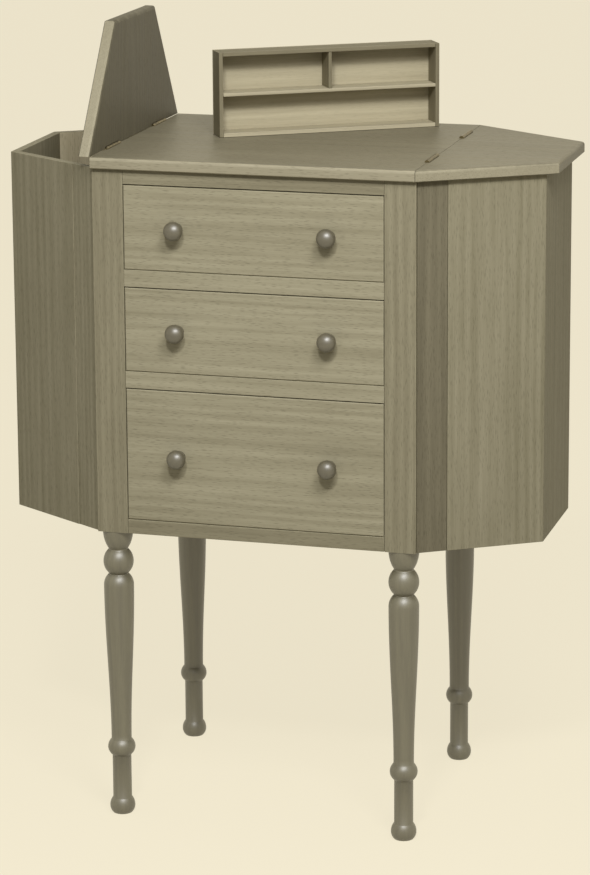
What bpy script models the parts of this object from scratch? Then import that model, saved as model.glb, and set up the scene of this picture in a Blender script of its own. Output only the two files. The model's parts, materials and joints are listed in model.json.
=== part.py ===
"""Sewing cabinet: three drawers between turned legs, a lidded pocket at each side, and a loose spool tray.

Metres, +Z up, front towards -Y. Each piece is one object; an empty carries each group that moves.
The origin is on the floor, under the middle of the whole cabinet with its left lid open.
"""

import math

import bmesh
import bpy
from mathutils import Matrix, Vector

# Joints between pieces
SEAM = 0.0003                  # glue line or seat between two pieces that touch
WELD = 1e-6                    # points closer than this are one point

# Case
CASE_WIDTH = 0.3526            # over the posts, left to right
CASE_DEPTH = 0.2984            # over the posts, front to back
CASE_HEIGHT = 0.3975           # body's bottom to the underside of the top
POST = 0.034                   # side of the square posts
SIDE_THICKNESS = 0.012
BACK_THICKNESS = 0.006
BACK_INSET = 0.006             # back panel in from the posts' rear faces
RAIL_THICKNESS = 0.0158        # top rail and bottom board
RAIL_DEPTH = 0.045             # top rail, front to back
DIVIDER_THICKNESS = 0.0183

# Legs: heights from the floor, or down from the body's bottom, and radii
LEG_HEIGHT = 0.3234
DOME_STEP = 0.0005             # turning starts this far inside the post's faces
DOME_DROP = 0.0225
NECK_RADIUS = 0.0100           # the two narrow necks round the ball
BALL_RADIUS = 0.0164
BALL_HEIGHT = 0.0277           # neck to neck
SHOULDER_RADIUS = 0.0163
SHOULDER_DROP = 0.0130         # lower neck to the widest point of the shoulder
CALF_RADIUS = 0.0110           # thin end of the taper, above the ring
ANKLE_RADIUS = 0.0103          # the shaft below the ring
TAPER_POWER = 2.0              # above 1 holds the swell of the shoulder for longer
RING_RADIUS = 0.0150
RING_CENTRE = 0.0755
RING_HEIGHT = 0.0182
FOOT_RADIUS = 0.0138
FOOT_TOP = 0.0175              # where the shaft meets the foot
FOOT_WIDEST = 0.0078
FOOT_BASE_RADIUS = 0.0106      # flat disc on the floor
TENON_RISE = 0.002             # turned part runs this far up into the post
LEG_SIDES = 16
CURVE_STEPS = 4                # spans from a turned bead's belly to its neck
TAPER_STEPS = 8

# Top and lids
TOP_THICKNESS = 0.0122
TOP_OVERHANG = 0.0062          # beyond the posts, front and back
LID_GAP = 0.0005               # between the top board and a lid
LID_END_OVERHANG = 0.013       # beyond the pocket's end panel
LID_OPEN_ANGLE = 91.0          # left lid, degrees from closed
EDGE_EASE = 0.001              # chamfer on the upper and lower edges of the top and the lids

# Hinges
HINGE_LENGTH = 0.045
HINGE_FROM_MIDDLE = 0.080      # hinge's middle from the cabinet's middle, front and back
LEAF_THICKNESS = 0.0012
LEAF_EDGE = 0.002              # wood below a leaf's lower edge
KNUCKLE_RADIUS = 0.0026
KNUCKLES = 5
PIN_RADIUS = 0.0011
HINGE_SIDES = 16

# Pockets
POCKET_REACH = 0.1199          # posts' outer face to the end panel's outer face
POCKET_END_DEPTH = 0.1382      # outer width of the end panel
POCKET_SET_BACK = 0.0024       # slanted panel behind the post's front face, where they meet
POCKET_WALL = 0.009
POCKET_FLOOR = 0.008
STRIP_WIDTH = 0.0338           # dark strip beside the post, along the slanted panel
STRIP_RECESS = 0.0008          # strip's face behind the panel's face

# Drawers
SMALL_DRAWER_OPENING = 0.092   # height of the upper two; the lowest takes what is left
DRAWER_SIDE_GAP = 0.0007
DRAWER_TOP_GAP = 0.0012
DRAWER_BOTTOM_GAP = 0.0005
DRAWER_BACK_GAP = 0.015        # behind a shut drawer, to the back panel
DRAWER_FRONT = 0.016           # thickness
DRAWER_WALL = 0.008            # sides and back
DRAWER_FLOOR = 0.004
DRAWER_SIDE_DROP = 0.009       # sides lower than the opening
GROOVE_RISE = 0.008            # underside of the drawer's floor above the runner
GROOVE_DEPTH = 0.004           # floor let into sides and front
FRONT_EASE = 0.0008            # chamfer round the face of a drawer front

# Knobs
KNOB_RADIUS = 0.0103
KNOB_PROJECTION = 0.0211
KNOB_BELLY = 0.0123            # widest point from the drawer's face
KNOB_NECK_RADIUS = 0.0055
KNOB_NECK = 0.0042             # narrowest point from the drawer's face
KNOB_BASE_RADIUS = 0.007
KNOB_TENON_RADIUS = 0.004
KNOB_TENON_LENGTH = 0.0115
KNOB_SPACING = 0.166           # middle to middle
KNOB_SIDES = 16

# Spool tray, standing on one long wall
TRAY_LENGTH = 0.2511
TRAY_WIDTH = 0.0926            # its height as it stands
TRAY_DEPTH = 0.029
TRAY_WALL = 0.0042
TRAY_FLOOR = 0.0025
TRAY_DIVIDER = 0.0036
TRAY_X = 0.0199                # middle of the tray from the middle of the case
TRAY_Y = 0.0766
TRAY_TURN = 31.8               # degrees about +Z

# Places worked out from the driving dimensions
case_half_width = CASE_WIDTH / 2
case_half_depth = CASE_DEPTH / 2
case_top = LEG_HEIGHT + CASE_HEIGHT
top_surface = case_top + TOP_THICKNESS
top_half_depth = case_half_depth + TOP_OVERHANG
opening_half_width = case_half_width - POST
pocket_end_x = case_half_width + POCKET_REACH
pocket_end_half = POCKET_END_DEPTH / 2
slant_run = case_half_depth - POCKET_SET_BACK - pocket_end_half
slant = math.atan2(slant_run, POCKET_REACH)
lid_reach = POCKET_REACH + LID_END_OVERHANG
lid_end_half = top_half_depth - lid_reach * math.tan(slant)
back_front = case_half_depth - BACK_INSET - BACK_THICKNESS
drawer_depth = case_half_depth + back_front - DRAWER_BACK_GAP
dome_radius = POST / 2 - DOME_STEP
leaf_width = TOP_THICKNESS - LEAF_EDGE

FINISHES = {
    "stained_wood": ((0.165, 0.125, 0.070), 0.42, 0.0),
    "dark_wood": ((0.105, 0.078, 0.043), 0.45, 0.0),
    "pale_wood": ((0.420, 0.330, 0.200), 0.60, 0.0),
    "polished_wood": ((0.120, 0.088, 0.048), 0.25, 0.0),
    "brass": ((0.600, 0.450, 0.180), 0.32, 1.0),
}


def clear_scene():
    for item in list(bpy.data.objects):
        bpy.data.objects.remove(item, do_unlink=True)


def make_finish(name):
    colour, roughness, metallic = FINISHES[name]
    made = bpy.data.materials.new(name)
    made.use_nodes = True
    shader = made.node_tree.nodes["Principled BSDF"]
    shader.inputs["Base Color"].default_value = (*colour, 1.0)
    shader.inputs["Roughness"].default_value = roughness
    shader.inputs["Metallic"].default_value = metallic
    return made


def make_empty(name, parent, location, turn=(0.0, 0.0, 0.0)):
    empty = bpy.data.objects.new(name, None)
    empty.parent = parent
    empty.location = location
    empty.rotation_euler = turn
    bpy.context.scene.collection.objects.link(empty)
    return empty


def place(name, bm, finish, parent, location=(0.0, 0.0, 0.0)):
    """Turns a bmesh into an object that hangs on its parent."""
    bmesh.ops.remove_doubles(bm, verts=bm.verts, dist=WELD)
    bmesh.ops.recalc_face_normals(bm, faces=bm.faces)
    mesh = bpy.data.meshes.new(name)
    bm.to_mesh(mesh)
    bm.free()
    if finish:
        mesh.materials.append(finish)
    item = bpy.data.objects.new(name, mesh)
    item.parent = parent
    item.location = location
    bpy.context.scene.collection.objects.link(item)
    return item


def box_mesh(low, high):
    """A cuboid between two opposite corners."""
    size = Vector(high) - Vector(low)
    middle = (Vector(high) + Vector(low)) / 2
    bm = bmesh.new()
    shape = Matrix.Translation(middle) @ Matrix.Diagonal((*size, 1.0))
    bmesh.ops.create_cube(bm, size=1.0, matrix=shape)
    return bm


def board(name, low, high, finish, parent):
    """A plain board between two opposite corners, with its origin in its middle."""
    middle = (Vector(high) + Vector(low)) / 2
    bm = box_mesh(Vector(low) - middle, Vector(high) - middle)
    return place(name, bm, finish, parent, middle)


def prism_mesh(outline, along):
    """Extrudes a closed outline of 3D points by a vector."""
    bm = bmesh.new()
    face = bm.faces.new([bm.verts.new(point) for point in outline])
    grown = bmesh.ops.extrude_face_region(bm, geom=[face])
    moved = [part for part in grown["geom"] if isinstance(part, bmesh.types.BMVert)]
    bmesh.ops.translate(bm, verts=moved, vec=along)
    return bm


def slab(name, plan, low, high, finish, parent):
    """A board of any plan outline, from one height to another."""
    bm = prism_mesh([(x, y, low) for x, y in plan], (0.0, 0.0, high - low))
    return place(name, bm, finish, parent)


def turned_mesh(profile, sides):
    """Spins (radius, height) points, which start and end on the axis, about +Z."""
    bm = bmesh.new()
    points = [bm.verts.new((radius, 0.0, height)) for radius, height in profile]
    edges = [bm.edges.new(pair) for pair in zip(points, points[1:])]
    bmesh.ops.spin(bm, geom=points + edges, cent=(0, 0, 0), axis=(0, 0, 1),
                   angle=2 * math.pi, steps=sides, use_merge=True)
    bmesh.ops.remove_doubles(bm, verts=bm.verts, dist=WELD)
    bmesh.ops.dissolve_degenerate(bm, edges=bm.edges, dist=WELD)
    return bm


def rod_mesh(radius, low, high, sides):
    """A round bar along Y."""
    bm = turned_mesh([(0, high), (radius, high), (radius, low), (0, low)], sides)
    bmesh.ops.rotate(bm, verts=bm.verts, cent=(0, 0, 0), matrix=Matrix.Rotation(math.radians(-90), 3, "X"))
    return bm


def shade_round(item, angle=30.0):
    item.data.shade_smooth()
    item.data.set_sharp_from_angle(angle=math.radians(angle))


def combine(item, bm, operation):
    """Adds or cuts a helper solid, which stays as a hidden wire object."""
    helper = place(f"{item.name}_helper_{len(item.modifiers)}", bm, None, item.parent, item.location)
    helper.hide_render = True
    helper.display_type = "WIRE"
    modifier = item.modifiers.new(operation.lower(), "BOOLEAN")
    modifier.operation = operation
    modifier.solver = "EXACT"
    modifier.object = helper


def half_bead(belly, neck):
    """One half of a turned bead, from its widest (radius, height) point in to a neck: an arc about the axis."""
    sweep = math.acos(neck[0] / belly[0])
    points = []
    for step in range(CURVE_STEPS + 1):
        turn = sweep * step / CURVE_STEPS
        rise = math.sin(turn) / math.sin(sweep)
        points.append((belly[0] * math.cos(turn), belly[1] + (neck[1] - belly[1]) * rise))
    return points


def bead(upper_neck, belly, lower_neck):
    """A turned bead from neck to neck, going down."""
    return half_bead(belly, upper_neck)[::-1] + half_bead(belly, lower_neck)[1:]


def leg_profile():
    """The turned part, from inside the post down to the floor."""
    upper_neck = (NECK_RADIUS, LEG_HEIGHT - DOME_DROP)
    lower_neck = (NECK_RADIUS, upper_neck[1] - BALL_HEIGHT)
    ball = (BALL_RADIUS, upper_neck[1] - BALL_HEIGHT / 2)
    shoulder = (SHOULDER_RADIUS, lower_neck[1] - SHOULDER_DROP)
    ring_top = (CALF_RADIUS, RING_CENTRE + RING_HEIGHT / 2)
    ring_base = (ANKLE_RADIUS, RING_CENTRE - RING_HEIGHT / 2)

    points = [(0.0, LEG_HEIGHT + TENON_RISE), (dome_radius, LEG_HEIGHT + TENON_RISE)]
    points += half_bead((dome_radius, LEG_HEIGHT), upper_neck)
    points += bead(upper_neck, ball, lower_neck)[1:]
    points += half_bead(shoulder, lower_neck)[::-1][1:]
    for step in range(1, TAPER_STEPS + 1):
        share = step / TAPER_STEPS
        ease = math.sin(math.pi / 2 * share) ** TAPER_POWER
        radius = SHOULDER_RADIUS + (CALF_RADIUS - SHOULDER_RADIUS) * ease
        points.append((radius, shoulder[1] + (ring_top[1] - shoulder[1]) * share))
    points += bead(ring_top, (RING_RADIUS, RING_CENTRE), ring_base)[1:]
    points += half_bead((FOOT_RADIUS, FOOT_WIDEST), (ANKLE_RADIUS, FOOT_TOP))[::-1]
    points += half_bead((FOOT_RADIUS, FOOT_WIDEST), (FOOT_BASE_RADIUS, 0.0))[1:]
    points.append((0.0, 0.0))
    return points


def make_legs(finishes, cabinet):
    reach_x = case_half_width - POST / 2
    reach_y = case_half_depth - POST / 2
    for depth_name, depth_sign in (("front", -1), ("back", 1)):
        for side_name, side_sign in (("left", -1), ("right", 1)):
            name = f"leg_{depth_name}_{side_name}"
            foot = (side_sign * reach_x, depth_sign * reach_y, 0.0)
            turning = turned_mesh(leg_profile(), LEG_SIDES)
            leg = place(name, turning, finishes["stained_wood"], cabinet, foot)
            shade_round(leg)
            post = box_mesh((-POST / 2, -POST / 2, LEG_HEIGHT), (POST / 2, POST / 2, case_top - SEAM))
            combine(leg, post, "UNION")


def opening_heights():
    """(bottom, top) of each drawer's opening, from the top drawer down."""
    first_top = case_top - RAIL_THICKNESS
    second_top = first_top - SMALL_DRAWER_OPENING - DIVIDER_THICKNESS
    third_top = second_top - SMALL_DRAWER_OPENING - DIVIDER_THICKNESS
    return [
        (first_top - SMALL_DRAWER_OPENING, first_top),
        (second_top - SMALL_DRAWER_OPENING, second_top),
        (LEG_HEIGHT + RAIL_THICKNESS, third_top),
    ]


def make_case(finishes, cabinet):
    """Rail, dividers and bottom between the posts; sides and back behind them."""
    wood = finishes["stained_wood"]
    pale = finishes["pale_wood"]
    openings = opening_heights()
    half = opening_half_width - SEAM
    front = -case_half_depth
    levels = {
        "upper_divider": (openings[1][1], openings[0][0]),
        "lower_divider": (openings[2][1], openings[1][0]),
        "bottom_board": (LEG_HEIGHT, openings[2][0]),
    }
    rail_back = front + RAIL_DEPTH
    board("top_rail", (-half, front, openings[0][1]), (half, rail_back, case_top - SEAM), wood, cabinet)
    for name, (low, high) in levels.items():
        board(name, (-half, front, low), (half, back_front - SEAM, high), wood, cabinet)
    back_rear = back_front + BACK_THICKNESS
    board("back_panel", (-half, back_front, LEG_HEIGHT), (half, back_rear, case_top - SEAM), pale, cabinet)
    side_depth = case_half_depth - POST - SEAM
    for name, sign in (("case_side_left", -1), ("case_side_right", 1)):
        inner = sign * opening_half_width
        outer = sign * (opening_half_width + SIDE_THICKNESS)
        low = (min(inner, outer), -side_depth, LEG_HEIGHT)
        high = (max(inner, outer), side_depth, case_top - SEAM)
        board(name, low, high, pale, cabinet)


def slant_point(along, inward):
    """A point of the right pocket's slanted front panel: distance from the post, depth into the wall."""
    x = case_half_width + along * math.cos(slant) - inward * math.sin(slant)
    y = -(case_half_depth - POCKET_SET_BACK) + along * math.sin(slant) + inward * math.cos(slant)
    return (x, y)


def slant_at_post(inward):
    """The panel's point that stands one seam off the post's outer face."""
    along = (SEAM + inward * math.sin(slant)) / math.cos(slant)
    return slant_point(along, inward)


def slant_at_end(inward, end_x):
    """The panel's point in the plane of a given x."""
    along = (end_x - case_half_width + inward * math.sin(slant)) / math.cos(slant)
    return slant_point(along, inward)


def make_pocket(side_name, side_sign, finishes, cabinet):
    """Three upright walls, a dark strip beside the front post, and a floor."""
    wood = finishes["stained_wood"]
    pale = finishes["pale_wood"]
    top = case_top - SEAM

    def add(piece, plan, low, high, finish, back_sign=1):
        plan = [(side_sign * x, back_sign * y) for x, y in plan]
        slab(f"pocket_{side_name}_{piece}", plan, low, high, finish, cabinet)

    mitre = [slant_at_end(POCKET_WALL, pocket_end_x - POCKET_WALL), slant_at_end(0.0, pocket_end_x)]
    strip_end = STRIP_WIDTH + SEAM / math.cos(slant)
    strip = [slant_at_post(STRIP_RECESS), slant_at_post(POCKET_WALL),
             slant_point(strip_end, POCKET_WALL), slant_point(strip_end, STRIP_RECESS)]
    panel_start = [slant_point(strip_end + SEAM, 0.0), slant_point(strip_end + SEAM, POCKET_WALL)]
    add("front_strip", strip, LEG_HEIGHT, top, finishes["dark_wood"])
    add("front_panel", panel_start + mitre, LEG_HEIGHT, top, wood)
    add("back_panel", [slant_at_post(0.0), slant_at_post(POCKET_WALL)] + mitre, LEG_HEIGHT, top, wood, -1)

    # the end panel stands one seam inside both mitres
    trim = SEAM / math.cos(math.pi / 4 - slant / 2)
    corner_in, corner_out = [(x, y + trim) for x, y in mitre]
    end = [corner_in, corner_out, (corner_out[0], -corner_out[1]), (corner_in[0], -corner_in[1])]
    add("end_panel", end, LEG_HEIGHT, top, wood)

    # the floor fills the space inside the walls and reaches in between the posts
    inside = POCKET_WALL + SEAM
    case_x = opening_half_width + SIDE_THICKNESS + SEAM
    post_x = case_half_width + SEAM
    post_y = case_half_depth - POST - SEAM
    half = [(case_x, -post_y), (post_x, -post_y)]
    half += [slant_at_post(inside), slant_at_end(inside, pocket_end_x - inside)]
    add("floor", half + [(x, -y) for x, y in half[::-1]], LEG_HEIGHT, LEG_HEIGHT + POCKET_FLOOR, pale)


def recess_outline(y):
    """Keyhole outline round a hinge: a slot for both leaves and a round clearance for the knuckles."""
    slot = LID_GAP / 2 + LEAF_THICKNESS + SEAM
    radius = KNUCKLE_RADIUS + SEAM
    start = math.acos(slot / radius)
    points = [(-slot, y, -leaf_width - SEAM), (slot, y, -leaf_width - SEAM)]
    sweep = math.pi + 2 * start
    for step in range(HINGE_SIDES + 1):
        turn = -start + sweep * step / HINGE_SIDES
        points.append((radius * math.cos(turn), y, radius * math.sin(turn)))
    return points


def hinge_recess(x, y, z):
    """The space that a hinge takes out of the boards it joins; y is the hinge's middle."""
    bm = prism_mesh(recess_outline(-HINGE_LENGTH / 2 - SEAM), (0.0, HINGE_LENGTH + 2 * SEAM, 0.0))
    bmesh.ops.translate(bm, verts=bm.verts, vec=(x, y, z))
    return bm


def ease_edges(bm, width, keep):
    """Chamfers the edges that keep() picks."""
    picked = [edge for edge in bm.edges if keep(edge)]
    bmesh.ops.bevel(bm, geom=picked, offset=width, segments=1, profile=0.5, affect="EDGES")


def shows_on_edge(edge, seam_x):
    """True for a level edge that isn't on the seam between the top board and a lid."""
    first, second = (vert.co for vert in edge.verts)
    on_seam = abs(abs(first.x) - seam_x) < WELD and abs(abs(second.x) - seam_x) < WELD
    crosses = abs(first.x - second.x) > WELD
    return abs(first.z - second.z) < WELD and (crosses or not on_seam)


def make_top(finishes, cabinet):
    half = case_half_width - LID_GAP / 2
    low = (-half, -top_half_depth, -TOP_THICKNESS)
    bm = box_mesh(low, (half, top_half_depth, 0.0))
    ease_edges(bm, EDGE_EASE, lambda edge: shows_on_edge(edge, half))
    top = place("top_board", bm, finishes["stained_wood"], cabinet, (0.0, 0.0, top_surface))
    for x in (-case_half_width, case_half_width):
        for y in (-HINGE_FROM_MIDDLE, HINGE_FROM_MIDDLE):
            combine(top, hinge_recess(x, y, 0.0), "DIFFERENCE")


def make_lid(side_name, side_sign, finishes, pivot):
    """The lid in its closed place; its parent's origin is on the pins' axis."""
    start = LID_GAP / 2
    end = start + lid_reach
    plan = [(start, -top_half_depth), (end, -lid_end_half), (end, lid_end_half), (start, top_half_depth)]
    outline = [(side_sign * x, y, -TOP_THICKNESS) for x, y in plan]
    bm = prism_mesh(outline, (0.0, 0.0, TOP_THICKNESS))
    ease_edges(bm, EDGE_EASE, lambda edge: shows_on_edge(edge, start))
    lid = place(f"lid_{side_name}", bm, finishes["stained_wood"], pivot)
    for y in (-HINGE_FROM_MIDDLE, HINGE_FROM_MIDDLE):
        combine(lid, hinge_recess(0.0, y, 0.0), "DIFFERENCE")


def knuckle_spans():
    """(low, high) along the pin of each knuckle, with half a seam off both ends."""
    pitch = HINGE_LENGTH / KNUCKLES
    start = -HINGE_LENGTH / 2
    return [(start + k * pitch + SEAM / 2, start + (k + 1) * pitch - SEAM / 2) for k in range(KNUCKLES)]


def make_leaf(name, sign, spans, y, finishes, parent, x, z):
    """A leaf on one side of the seam, joined to its own knuckles. Its origin is on the pin's axis."""
    near = sign * LID_GAP / 2
    far = sign * (LID_GAP / 2 + LEAF_THICKNESS)
    left = min(near, far)
    right = max(near, far)
    plate_top = -KNUCKLE_RADIUS - SEAM
    half = HINGE_LENGTH / 2
    plate = box_mesh((left, -half, -leaf_width), (right, half, plate_top))
    leaf = place(name, plate, finishes["brass"], parent, (x, y, z))
    for low, high in spans:
        web = box_mesh((left, low, plate_top - LEAF_THICKNESS), (right, high, -PIN_RADIUS))
        combine(leaf, web, "UNION")
        combine(leaf, rod_mesh(KNUCKLE_RADIUS, low, high, HINGE_SIDES), "UNION")
    return leaf


def make_hinges(side_name, side_sign, finishes, cabinet, pivot):
    """Two butt hinges: the fixed leaf has the outer knuckles and the pin, the moving leaf the others."""
    spans = knuckle_spans()
    half = HINGE_LENGTH / 2
    for depth_name, y in (("front", -HINGE_FROM_MIDDLE), ("back", HINGE_FROM_MIDDLE)):
        name = f"hinge_{side_name}_{depth_name}"
        fixed = make_leaf(f"{name}_fixed_leaf", -side_sign, spans[0::2], y, finishes, cabinet,
                          side_sign * case_half_width, top_surface)
        combine(fixed, rod_mesh(PIN_RADIUS, -half + SEAM, half - SEAM, HINGE_SIDES), "UNION")
        moving = make_leaf(f"{name}_moving_leaf", side_sign, spans[1::2], y, finishes, pivot, 0.0, 0.0)
        combine(moving, rod_mesh(PIN_RADIUS + SEAM, -half, half, HINGE_SIDES), "DIFFERENCE")


def drawer_side_mesh(side_sign, height, start, end):
    """A side with the floor's groove along its inner face, as a profile drawn out from front to back."""
    outer = opening_half_width - DRAWER_SIDE_GAP
    inner = outer - DRAWER_WALL
    groove = inner + GROOVE_DEPTH
    groove_low = GROOVE_RISE - SEAM
    groove_high = GROOVE_RISE + DRAWER_FLOOR + SEAM
    profile = [(outer, SEAM), (outer, height), (inner, height), (inner, groove_high),
               (groove, groove_high), (groove, groove_low), (inner, groove_low), (inner, SEAM)]
    outline = [(side_sign * x, start, z) for x, z in profile]
    return prism_mesh(outline, (0.0, end - start, 0.0))


def knob_profile():
    """From the front of the ball to the end of the tenon; heights are distances from the drawer's face."""
    points = half_bead((KNOB_RADIUS, KNOB_BELLY), (0.0, KNOB_PROJECTION))[::-1]
    points += half_bead((KNOB_RADIUS, KNOB_BELLY), (KNOB_NECK_RADIUS, KNOB_NECK))[1:]
    points += [(KNOB_BASE_RADIUS, SEAM), (KNOB_TENON_RADIUS, SEAM)]
    points += [(KNOB_TENON_RADIUS, -KNOB_TENON_LENGTH), (0.0, -KNOB_TENON_LENGTH)]
    return points


def make_drawer(number, low, high, finishes, runner):
    """One drawer; its parent is on the middle of its runner, at the case's front face."""
    pale = finishes["pale_wood"]
    name = f"drawer_{number}"
    height = high - low
    half = opening_half_width - DRAWER_SIDE_GAP
    wall_start = DRAWER_FRONT + SEAM
    side_height = height - DRAWER_SIDE_DROP
    inner = half - DRAWER_WALL
    floor_half = inner + GROOVE_DEPTH - SEAM
    knob_height = height / 2

    bm = box_mesh((-half, 0.0, DRAWER_BOTTOM_GAP), (half, DRAWER_FRONT, height - DRAWER_TOP_GAP))
    ease_edges(bm, FRONT_EASE, lambda edge: max(v.co.y for v in edge.verts) < WELD)
    front = place(f"{name}_front", bm, finishes["stained_wood"], runner)
    groove_high = GROOVE_RISE + DRAWER_FLOOR + SEAM
    groove = box_mesh((-floor_half - SEAM, DRAWER_FRONT - GROOVE_DEPTH, GROOVE_RISE - SEAM),
                      (floor_half + SEAM, DRAWER_FRONT + GROOVE_DEPTH, groove_high))
    combine(front, groove, "DIFFERENCE")

    for side_name, sign in (("left", -1), ("right", 1)):
        side = drawer_side_mesh(sign, side_height, wall_start, drawer_depth)
        place(f"{name}_{side_name}_side", side, pale, runner)
        x = sign * KNOB_SPACING / 2
        hole = rod_mesh(KNOB_TENON_RADIUS + SEAM, -SEAM, KNOB_TENON_LENGTH + SEAM, KNOB_SIDES)
        bmesh.ops.translate(hole, verts=hole.verts, vec=(x, 0.0, knob_height))
        combine(front, hole, "DIFFERENCE")
        turning = turned_mesh(knob_profile(), KNOB_SIDES)
        seat = (x, 0.0, knob_height)
        knob = place(f"{name}_{side_name}_knob", turning, finishes["polished_wood"], runner, seat)
        knob.rotation_euler = (math.radians(90), 0.0, 0.0)
        shade_round(knob)

    board(f"{name}_back", (-inner + SEAM, drawer_depth - DRAWER_WALL, groove_high),
          (inner - SEAM, drawer_depth, side_height), pale, runner)
    board(f"{name}_floor", (-floor_half, DRAWER_FRONT - GROOVE_DEPTH + SEAM, GROOVE_RISE),
          (floor_half, drawer_depth, GROOVE_RISE + DRAWER_FLOOR), pale, runner)


def make_tray(finishes, stand):
    """The spool tray in its own frame: long walls level, open face towards -Y, thin floor behind."""
    wood = finishes["pale_wood"]
    half = TRAY_LENGTH / 2
    front = -TRAY_DEPTH / 2
    back = TRAY_DEPTH / 2 - TRAY_FLOOR
    wall_back = back - SEAM
    inner = half - TRAY_WALL - SEAM
    middle = TRAY_WIDTH / 2
    divider = TRAY_DIVIDER / 2
    board("tray_floor", (-half, back, 0.0), (half, back + TRAY_FLOOR, TRAY_WIDTH), wood, stand)
    for side_name, low in (("left", -half), ("right", half - TRAY_WALL)):
        high = (low + TRAY_WALL, wall_back, TRAY_WIDTH)
        board(f"tray_{side_name}_end", (low, front, 0.0), high, wood, stand)
    for wall_name, low in (("lower", 0.0), ("upper", TRAY_WIDTH - TRAY_WALL)):
        high = (inner, wall_back, low + TRAY_WALL)
        board(f"tray_{wall_name}_wall", (-inner, front, low), high, wood, stand)
    high = (inner, wall_back, middle + divider)
    board("tray_long_divider", (-inner, front, middle - divider), high, wood, stand)
    low = (-divider, front, middle + divider + SEAM)
    high = (divider, wall_back, TRAY_WIDTH - TRAY_WALL - SEAM)
    board("tray_cross_divider", low, high, wood, stand)


def middle_of_box():
    """Middle of the whole cabinet's box in plan, with its left lid open, from the middle of the case."""
    left = -pocket_end_x
    right = case_half_width + LID_GAP / 2 + lid_reach
    front = min(-top_half_depth, -case_half_depth - KNOB_PROJECTION)
    return ((left + right) / 2, (front + top_half_depth) / 2)


def build():
    clear_scene()
    finishes = {name: make_finish(name) for name in FINISHES}
    middle_x, middle_y = middle_of_box()
    cabinet = make_empty("cabinet", None, (-middle_x, -middle_y, 0.0))
    make_legs(finishes, cabinet)
    make_case(finishes, cabinet)
    make_top(finishes, cabinet)
    for side_name, side_sign, angle in (("left", -1, LID_OPEN_ANGLE), ("right", 1, 0.0)):
        make_pocket(side_name, side_sign, finishes, cabinet)
        turn = (0.0, -side_sign * math.radians(angle), 0.0)
        axis_point = (side_sign * case_half_width, 0.0, top_surface)
        pivot = make_empty(f"lid_{side_name}_pivot", cabinet, axis_point, turn)
        make_lid(side_name, side_sign, finishes, pivot)
        make_hinges(side_name, side_sign, finishes, cabinet, pivot)
    for number, (low, high) in enumerate(opening_heights(), 1):
        runner = make_empty(f"drawer_{number}_runner", cabinet, (0.0, -case_half_depth, low))
        make_drawer(number, low, high, finishes, runner)
    tray_turn = (0.0, 0.0, math.radians(TRAY_TURN))
    stand = make_empty("tray_stand", cabinet, (TRAY_X, TRAY_Y, top_surface + SEAM), tray_turn)
    make_tray(finishes, stand)
    bpy.context.view_layer.update()


build()
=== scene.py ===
import json
import math
import random

import bmesh
import bpy
from mathutils import Matrix, Vector


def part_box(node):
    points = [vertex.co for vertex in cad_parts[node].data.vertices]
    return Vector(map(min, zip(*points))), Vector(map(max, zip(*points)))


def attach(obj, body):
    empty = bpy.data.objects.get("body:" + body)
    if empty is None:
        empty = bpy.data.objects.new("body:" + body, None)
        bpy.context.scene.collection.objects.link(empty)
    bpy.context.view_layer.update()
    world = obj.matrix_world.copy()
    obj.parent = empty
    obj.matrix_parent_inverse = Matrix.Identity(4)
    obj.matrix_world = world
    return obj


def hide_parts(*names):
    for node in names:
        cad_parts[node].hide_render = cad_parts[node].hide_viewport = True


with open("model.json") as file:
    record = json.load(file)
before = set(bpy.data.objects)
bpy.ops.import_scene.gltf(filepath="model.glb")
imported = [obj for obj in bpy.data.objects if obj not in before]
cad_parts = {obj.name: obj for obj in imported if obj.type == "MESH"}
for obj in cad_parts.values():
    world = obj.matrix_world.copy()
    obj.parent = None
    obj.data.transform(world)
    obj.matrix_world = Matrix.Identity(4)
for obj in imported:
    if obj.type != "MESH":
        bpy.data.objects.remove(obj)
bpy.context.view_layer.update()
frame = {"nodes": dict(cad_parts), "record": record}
record = frame["record"]
bodyOf = {node: body for body, nodes in record["behaviour"]["bodies"].items() for node in nodes}
jointOf = {joint["name"]: joint for joint in record["behaviour"]["joints"]}
chance = random.Random(7)  # one seeded source, for the boards' grain and the screws' slots
weld = 1e-6  # metres; points closer than this are one point
perMetre = 1000.0  # millimetres
sides = ("left", "right")
depths = ("front", "back")


# Hex sRGB to linear, with an alpha of 1
def linearColour(code):
    channels = [int(code[place:place + 2], 16) / 255 for place in (0, 2, 4)]
    return [c / 12.92 if c < 0.04045 else ((c + 0.055) / 1.055) ** 2.4 for c in channels] + [1.0]


# inputs holds values or sockets to link, by socket name or number
def addNode(tree, kind, inputs, **settings):
    node = tree.nodes.new(kind)
    for name, value in settings.items():
        setattr(node, name, value)
    for name, value in inputs.items():
        if isinstance(value, bpy.types.NodeSocket):
            tree.links.new(value, node.inputs[name])
        else:
            node.inputs[name].default_value = value
    return node


firstColour, secondColour, mixedColour = 6, 7, 2  # a Mix node's colour sockets, by number

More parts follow.
